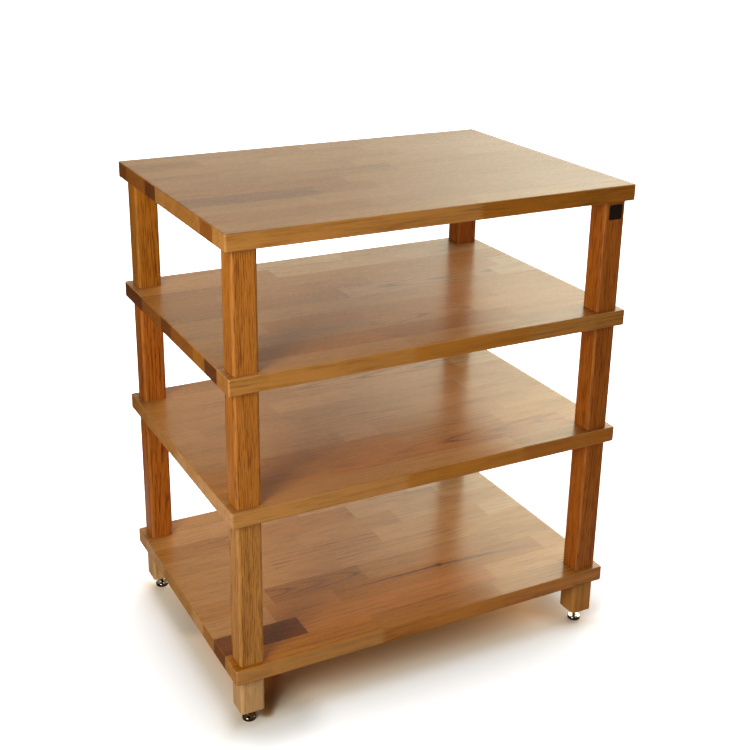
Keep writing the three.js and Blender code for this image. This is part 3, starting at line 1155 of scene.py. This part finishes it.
def make_camera():
    data = bpy.data.cameras.new("camera")
    data.sensor_width = SENSOR
    data.lens = FOCAL_PIXELS / PHOTO_SIDE * SENSOR
    data.shift_x = (PHOTO_SIDE / 2 - PRINCIPAL_POINT[0]) / PHOTO_SIDE
    data.shift_y = (PRINCIPAL_POINT[1] - PHOTO_SIDE / 2) / PHOTO_SIDE
    data.clip_start = 0.05
    data.clip_end = 60
    camera = add_object("camera", data)
    right = Vector((math.cos(CAMERA_AZIMUTH), math.sin(CAMERA_AZIMUTH), 0))
    level = math.cos(CAMERA_ELEVATION)
    back = Vector((right.y * level, -right.x * level, math.sin(CAMERA_ELEVATION)))
    up = back.cross(right)
    rolled_right = right * math.cos(CAMERA_ROLL) + up * math.sin(CAMERA_ROLL)
    rolled_up = up * math.cos(CAMERA_ROLL) - right * math.sin(CAMERA_ROLL)
    turn = Matrix((rolled_right, rolled_up, back)).transposed()
    camera.matrix_world = Matrix.Translation(CAMERA_PLACE) @ turn.to_4x4()
    bpy.context.scene.camera = camera


# Studio floor: the tones of its painted shade run from 80 mm inside the rack's outline to 60 mm outside it,
# and a painted glow whitens it further out. Soft light meets it as grey-brown paper, and reflections see a
# painted pale sheet round the rack on a painted dark floor that turns bright at the back right.
WHITE = (1, 1, 1)
FLOOR_REACH = 14
RACK_HALF_WIDTH, RACK_HALF_DEPTH, _ = cad_box[1]
SHADE_SHIFT = 9 * MM
PAINTED_FLOOR_SHADE = {
    0.00: (0.80, 0.48, 0.24),
    0.14: (0.92, 0.63, 0.38),
    0.42: (1.05, 0.96, 0.80),
    0.57: (1.42, 1.43, 1.43),
    0.70: (1.47, 1.58, 1.66),
    1.00: (1.50, 1.56, 1.68),
}
PAPER_TONE = (0.46, 0.39, 0.33)
SHEET_MIRRORED = (0.66, 0.65, 0.62)
OTHER_FLOOR_MIRRORED = (0.07, 0.045, 0.03)
BRIGHT_FLOOR_MIRRORED = 0.45

# A painted shade runs along a line from start to end. It is full within its near distance, gone at its
# reach, and narrower at its start by the taper.
BLOCK_SHADES = (
    ((-0.236, -0.180), (-0.204, -0.112), 0.006, 0.029, 0.46, (0.54, 0.34, 0.18)),
    ((-0.240, -0.195), (-0.215, -0.195), 0.016, 0.070, 1.00, (0.70, 0.69, 0.66)),
    ((0.266, -0.160), (0.262, -0.140), 0.020, 0.070, 1.00, (0.72, 0.67, 0.63)),
    ((-0.256, 0.050), (-0.256, 0.150), 0.006, 0.038, 1.00, (0.72, 0.75, 0.77)),
)


def from_rack(bench, x, y):
    """How far a place on the floor is outside the rack's outline, shifted a little to the left."""
    beside = bench.minus(bench.size(bench.plus(x, SHADE_SHIFT)), RACK_HALF_WIDTH)
    before = bench.minus(bench.size(y), RACK_HALF_DEPTH)
    beyond = bench.length(bench.join(bench.most(beside, 0), bench.most(before, 0), 0))
    return bench.plus(beyond, bench.least(bench.most(beside, before), 0))


def block_shade(bench, x, y, start, end, near, reach, taper, colour):
    """What one painted shade multiplies the floor's colour by."""
    run = Vector((*end, 0)) - Vector((*start, 0))
    spot = bench.vector("SUBTRACT", bench.join(x, y, 0), (*start, 0))
    spot_x, spot_y, _ = bench.parts(spot)
    along = bench.plus(bench.times(spot_x, run.x), bench.times(spot_y, run.y))
    along = bench.span(along, 0, run.length_squared, 0, 1, False)
    nearest = bench.join(bench.times(along, run.x), bench.times(along, run.y), 0)
    distance = bench.length(bench.vector("SUBTRACT", spot, nearest))
    distance = bench.over(distance, bench.span(along, 0, 1, taper, 1, False))
    return bench.blend(bench.span(distance, near, reach), colour, WHITE)


def make_floor():
    """A pale floor that keeps its shadow, with painted shade near the rack and a painted glow that whitens
    it away from the rack.
    """
    mesh = bpy.data.meshes.new("studio_floor")
    corners = [(FLOOR_REACH * x, FLOOR_REACH * y, 0) for x, y in ((-1, -1), (1, -1), (1, 1), (-1, 1))]
    mesh.from_pydata(corners, [], [(0, 1, 2, 3)])
    floor = add_object("studio_floor", mesh)
    material = bpy.data.materials.new("studio_floor")
    bench = clear_bench(material)
    paths = bench.add("ShaderNodeLightPath").outputs
    glossy = paths["Is Glossy Ray"]
    x, y, _ = bench.parts(bench.coordinates("Object"))
    away = from_rack(bench, x, y)
    # Painted shade: the floor darkens and warms towards the rack and under it
    shaded = bench.ramp(bench.span(away, -0.08, 0.06, 0, 1, False), PAINTED_FLOOR_SHADE)
    for shade in BLOCK_SHADES:
        shaded = bench.vector("MULTIPLY", shaded, block_shade(bench, x, y, *shade))
    # Painted glow, growing away from the rack, that whitens the floor there
    lit = bench.plus(bench.span(away, -0.02, 0.14, 0, 0.4), bench.span(away, 0.10, 0.40, 0, 0.6))
    shown = bench.out("ShaderNodeBsdfDiffuse", {"Color": shaded})
    glow = bench.out("ShaderNodeEmission", {"Color": (*WHITE, 1), "Strength": lit})
    bright = bench.out("ShaderNodeAddShader", {0: shown, 1: glow})

    # Painted reflection: a pale sheet round the rack on a dark floor, bright at the back right
    sheet = bench.times(bench.span(away, 0.03, 0.12), bench.span(away, 0.26, 0.48, 1, 0))
    sheet_tone = bench.blend(sheet, OTHER_FLOOR_MIRRORED, SHEET_MIRRORED)
    paper_tone = bench.blend(glossy, PAPER_TONE, sheet_tone)
    paper = bench.out("ShaderNodeBsdfDiffuse", {"Color": paper_tone})

    back_right = bench.span(bench.least(x, y), 0.20, 0.45)
    first_mirror = bench.span(paths["Ray Depth"], 1, 2, BRIGHT_FLOOR_MIRRORED, 0)
    mirrored = bench.times(glossy, back_right, first_mirror)
    seen = bench.most(paths["Is Camera Ray"], paths["Is Transmission Ray"], mirrored)
    mixed = bench.out("ShaderNodeMixShader", {0: seen, 1: paper, 2: bright})
    bench.add("ShaderNodeOutputMaterial", {"Surface": mixed})
    mesh.materials.append(material)


# How bright the studio is in each direction, for soft light and for reflections
FILL_LEFT = 0.06
FILL_FRONT = 0.22
FILL_BACK = 5.7
FILL_OVERHEAD = 0.12
FILL_COLOUR = (1, 0.95, 0.87)
GLOSS_FRONT = 0.02
GLOSS_BACK = 0.62
GLOSS_RIGHT = 1.1
GLOSS_HIGH_RIGHT = 4.2
GLOSS_LOW_COLOUR = (1, 1.02, 0.88)
GLOSS_COLOUR = (1, 1.02, 0.75)


def soft_light(bench, x, y, z):
    """Walls with a bright window at the back right, under a dim ceiling."""
    back_right = bench.plus(bench.times(x, 0.80), bench.times(y, 0.60))
    window = bench.span(back_right, 0.35, 0.92)
    walls = bench.span(y, -0.9, -0.2, FILL_FRONT, FILL_LEFT)
    fill = bench.mix(window, walls, FILL_BACK)
    return bench.mix(bench.span(z, 0.42, 0.72), fill, FILL_OVERHEAD)


def reflections(bench, x, y, z):
    """Dark in front and on the left, brighter at the back, and brightest high on the right."""
    azimuth = bench.math("ARCTAN2", x, y)
    back = bench.times(
        bench.span(azimuth, math.radians(3), math.radians(21), GLOSS_FRONT, GLOSS_BACK),
        bench.span(z, 0.28, 0.55, 1.1, 0.40, False),
        bench.span(z, 0.20, 0.25, 1.30, 1),
    )
    far_right = bench.times(
        bench.span(azimuth, math.radians(25), math.radians(41)),
        bench.span(z, 0.24, 0.54, GLOSS_RIGHT, GLOSS_HIGH_RIGHT),
    )
    shown = bench.times(
        bench.span(azimuth, math.radians(75), math.radians(120), 1, GLOSS_FRONT),
        bench.span(z, 0.55, 0.85, 1, 0.2),
    )
    return bench.times(bench.plus(back, far_right), shown, bench.span(z, 0.08, 0.20, 0.12, 1))


def make_world():
    """White studio walls: most of their soft light comes in low from the back right."""
    world = bpy.data.worlds.new("studio")
    bench = clear_bench(world)
    paths = bench.add("ShaderNodeLightPath").outputs
    glossy = paths["Is Glossy Ray"]
    seen = bench.most(paths["Is Camera Ray"], paths["Is Transmission Ray"])
    x, y, z = bench.parts(bench.coordinates("Generated"))
    strength = bench.mix(glossy, soft_light(bench, x, y, z), reflections(bench, x, y, z))
    gloss_colour = bench.blend(bench.span(z, 0.24, 0.34), GLOSS_LOW_COLOUR, GLOSS_COLOUR)
    tint = bench.blend(glossy, FILL_COLOUR, gloss_colour)
    air = bench.out("ShaderNodeBackground", {
        "Color": bench.blend(seen, tint, WHITE),
        "Strength": bench.mix(seen, strength, 1),
    })
    bench.add("ShaderNodeOutputWorld", {"Surface": air})
    bpy.context.scene.world = world


KEY_PLACE = Vector((-1.25, -0.85, 0.95))
KEY_AIM = Vector((0, 0, 0.4))
KEY_WIDTH = 0.57
KEY_HEIGHT = 1.02
KEY_POWER = 18
KEY_COLOUR = (1, 0.96, 0.90)


def make_key_softbox():
    data = bpy.data.lights.new("key_softbox", "AREA")
    data.shape = "RECTANGLE"
    data.size = KEY_WIDTH
    data.size_y = KEY_HEIGHT
    data.energy = KEY_POWER
    data.color = KEY_COLOUR
    lamp = add_object("key_softbox", data)
    turn = (KEY_AIM - KEY_PLACE).to_track_quat("-Z", "Y").to_matrix()
    lamp.matrix_world = Matrix.Translation(KEY_PLACE) @ turn.to_4x4()


make_camera()
make_world()
make_floor()
make_key_softbox()

boards_oak = board_oak()
posts_oak = post_oak()
metal = polished_metal()
zinc = zinc_plate()

make_boards(boards_oak)
make_posts(posts_oak)
spikes, spike_sockets = spike_tree(metal)
for corner_name in CORNERS:
    shoe(corner_name, metal)
    lock_nut(corner_name, metal)
    spike(corner_name, spikes, spike_sockets)
make_plate(plate_black())
for node_name, node_object in frame["nodes"].items():
    if "joint_screw" in node_name or "spike_insert" in node_name:
        node_object.material_slots[0].material = zinc

scene = bpy.context.scene
scene.view_settings.view_transform = "Standard"
